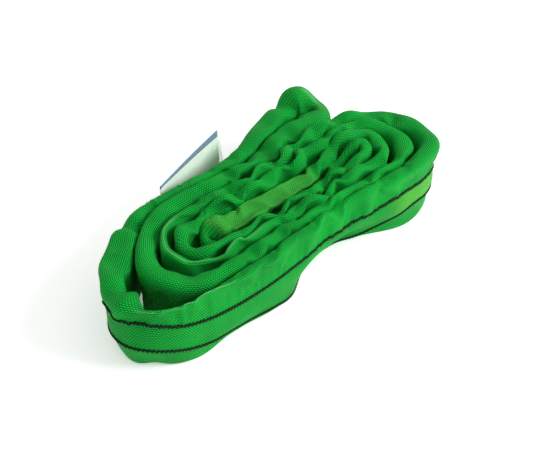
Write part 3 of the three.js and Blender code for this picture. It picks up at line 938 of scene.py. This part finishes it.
def sleeve_material():
    """Rows of short floats that step along by half from row to row."""
    n = Nodes("woven sleeve")
    uv = n.uv("weave")
    rows = n.math("MULTIPLY", uv[1], 1 / WEAVE_ROW)
    odd = n.math("MULTIPLY", n.math("FLOOR", rows), 0.5)
    dashes = n.math("ADD", n.math("MULTIPLY", uv[0], 1 / WEAVE_DASH), odd)
    across = n.math("ABSOLUTE", n.math("SINE", n.math("MULTIPLY", rows, math.pi)))
    along_ = n.math("ABSOLUTE", n.math("SINE", n.math("MULTIPLY", dashes, math.pi)))
    weave = n.math("MULTIPLY", n.math("POWER", across, 0.8), n.math("MULTIPLY_ADD", along_, 0.75, 0.25))
    place = n.tree.nodes.new("ShaderNodeTexCoord").outputs["Object"]
    cloud = n.noise(place, 45, 3)
    fuzz = n.noise(place, 900, 2)
    dark = (0.0004, 0.045, 0.0095, 1)
    fair = (0.008, 0.53, 0.056, 1)
    tone = n.math("MULTIPLY_ADD", cloud, 0.5, n.math("MULTIPLY_ADD", weave, 1.0, -0.25), clamp=True)
    # painted light: the first channel mixes in a pale yellow-green where light falls
    painted_light = n.uv("painted_light")
    painted_light_colour = n.mix(tone, (0.05, 0.22, 0.02, 1), (0.26, 0.72, 0.1, 1))
    colour = n.mix(n.math("MULTIPLY", painted_light[0], PAINTED_LIGHT_SHARE), n.mix(tone, dark, fair), painted_light_colour)
    # painted highlight: the second channel mixes in a lighter green along the ridges
    colour = n.mix(n.math("MULTIPLY", painted_light[1], PAINTED_HIGHLIGHT_SHARE), colour, (0.16, 0.6, 0.2, 1))
    n.link(colour, n.shader.inputs["Base Color"])
    n.shader.inputs["Roughness"].default_value = 0.62
    n.shader.inputs["Sheen Weight"].default_value = 0.015
    n.shader.inputs["Sheen Roughness"].default_value = 0.4
    n.shader.inputs["Sheen Tint"].default_value = (0.75, 1.0, 0.35, 1)
    n.shader.inputs["Specular IOR Level"].default_value = 0.12
    n.shader.inputs["Specular Tint"].default_value = (0.35, 1.0, 0.3, 1)
    height = n.math("MULTIPLY_ADD", fuzz, 0.25, weave)
    n.bump(height, WEAVE_RELIEF, 1.0)
    return n.material


def simple_material(name, low, high, scale, roughness, stretch_=(1, 1, 1), distance=0.0002):
    """Two tones and a little relief from noise."""
    n = Nodes(name)
    place = n.tree.nodes.new("ShaderNodeTexCoord").outputs["Object"]
    scaled = n.tree.nodes.new("ShaderNodeMapping")
    scaled.inputs["Scale"].default_value = stretch_
    n.link(place, scaled.inputs["Vector"])
    grain = n.noise(scaled.outputs[0], scale, 3)
    n.link(n.mix(grain, (*low, 1), (*high, 1)), n.shader.inputs["Base Color"])
    n.shader.inputs["Roughness"].default_value = roughness
    n.shader.inputs["Specular IOR Level"].default_value = 0.15
    n.bump(grain, distance)
    return n.material


BORDER_START, BORDER_GROWTH = 0.0018, 0.045  # width at the crease, m, and per metre along the card
BORDER_SHARPNESS = 4000


def label_material():
    """White card with a blue border along its top edge, wider towards the free end."""
    n = Nodes("printed card")
    part = n.tree.nodes.new("ShaderNodeSeparateXYZ")
    n.link(n.tree.nodes.new("ShaderNodeTexCoord").outputs["Object"], part.inputs[0])
    x = n.math("SUBTRACT", part.outputs[0], (CREASE[0] - CENTRE[0]) * MM)
    y = n.math("SUBTRACT", part.outputs[1], (CREASE[1] - CENTRE[1]) * MM)
    reach = n.math("MULTIPLY_ADD", x, math.cos(LABEL_ANGLE), n.math("MULTIPLY", y, math.sin(LABEL_ANGLE)))
    wide = n.math("MULTIPLY_ADD", reach, BORDER_GROWTH, BORDER_START)
    below = n.math("SUBTRACT", LABEL_TOP * MM, part.outputs[2])
    over = n.math("SUBTRACT", wide, below)
    inside = n.math("MULTIPLY_ADD", over, BORDER_SHARPNESS, 0.5, clamp=True)
    place = n.tree.nodes.new("ShaderNodeTexCoord").outputs["Object"]
    grain = n.noise(place, 300, 3)
    card = n.mix(grain, (0.86, 0.9, 0.85, 1), (0.95, 0.96, 0.93, 1))
    blue = n.mix(grain, (0.008, 0.04, 0.24, 1), (0.02, 0.08, 0.36, 1))
    n.link(n.mix(inside, card, blue), n.shader.inputs["Base Color"])
    n.shader.inputs["Roughness"].default_value = 0.5
    n.bump(grain, 0.0001, 0.5)
    return n.material


def film_material():
    """Thin clear film with a slight green cast."""
    n = Nodes("clear film")
    place = n.tree.nodes.new("ShaderNodeTexCoord").outputs["Object"]
    grain = n.noise(place, 120, 2)
    n.link(n.mix(grain, (0.55, 0.85, 0.6, 1), (0.75, 0.95, 0.78, 1)), n.shader.inputs["Base Color"])
    n.shader.inputs["Alpha"].default_value = 0.13
    n.shader.inputs["Roughness"].default_value = 0.3
    n.shader.inputs["Specular IOR Level"].default_value = 0.2
    n.bump(grain, 0.0003, 0.4)
    return n.material


tracer_look = simple_material("tracer thread", (0.001, 0.008, 0.002), (0.003, 0.028, 0.006), 1400, 0.8)
yarn_look = simple_material("yarn", (0.55, 0.53, 0.45), (0.85, 0.83, 0.76), 900, 0.55)
thread_look = simple_material("sewing thread", (0.02, 0.2, 0.04), (0.06, 0.36, 0.09), 1800, 0.6)
tape_look = simple_material("tape", (0.45, 0.38, 0.22), (0.62, 0.55, 0.36), 700, 0.5, (1, 1, 6))
band_look = simple_material("label end", (0.6, 0.64, 0.6), (0.85, 0.87, 0.83), 1300, 0.6, (1, 1, 3))


def finish_piece(piece, look, node, body="root"):
    """Gives a piece its material, hides the CAD node it stands for and puts it on the body it rides on."""
    piece.data.materials.append(look)
    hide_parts(node)
    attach(piece, body)


for index, hank in enumerate(bundles):
    finish_piece(hank, yarn_look, f"core_bundle_{index + 1}")
for index, row in enumerate(closing):
    finish_piece(row, thread_look, f"closing_seam_{index + 1}")
finish_piece(tracers[0], tracer_look, "tracer_lower")
finish_piece(tracers[1], tracer_look, "tracer_upper")
finish_piece(cover, sleeve_material(), "cover_sleeve")
finish_piece(tape_turn, tape_look, "core_tape")
finish_piece(label_end, band_look, "label_tab")
finish_piece(label_stitches, thread_look, "label_stitching")
finish_piece(label_card, label_material(), "label_sheet", "label")
finish_piece(clear_film, film_material(), "label_film", "label")


# ---------------------------------------------------------------- stage and light
FLOOR_HALF = 4.0
WORLD_LIGHT = 0.74
KEY_PLACE, KEY_SIZE, KEY_POWER = (0.68, -0.85, 0.7), 0.7, 15


def make_stage():
    mesh = bpy.data.meshes.new("floor")
    corners = [(x * FLOOR_HALF, y * FLOOR_HALF, 0) for x, y in ((-1, -1), (1, -1), (1, 1), (-1, 1))]
    mesh.from_pydata(corners, [], [(0, 1, 2, 3)])
    floor = bpy.data.objects.new("floor", mesh)
    bpy.context.collection.objects.link(floor)
    n = Nodes("floor")
    n.shader.inputs["Base Color"].default_value = (0.93, 0.93, 0.93, 1)
    n.shader.inputs["Emission Color"].default_value = (1, 1, 1, 1)
    n.shader.inputs["Emission Strength"].default_value = 0.32
    n.shader.inputs["Roughness"].default_value = 0.8
    mesh.materials.append(n.material)


def area_light(name, place, target, size, power):
    data = bpy.data.lights.new(name, "AREA")
    data.shape = "DISK"
    data.size = size
    data.energy = power
    light = bpy.data.objects.new(name, data)
    light.location = place
    light.rotation_euler = (Vector(target) - Vector(place)).to_track_quat("-Z", "Y").to_euler()
    bpy.context.collection.objects.link(light)


def make_light():
    world = bpy.data.worlds.new("world")
    world.use_nodes = True
    world.node_tree.nodes["Background"].inputs[0].default_value = (1, 1, 1, 1)
    world.node_tree.nodes["Background"].inputs[1].default_value = WORLD_LIGHT
    bpy.context.scene.world = world
    area_light("key", KEY_PLACE, (0, 0, 0), KEY_SIZE, KEY_POWER)


make_stage()
make_light()
bpy.context.scene.view_settings.view_transform = "Standard"
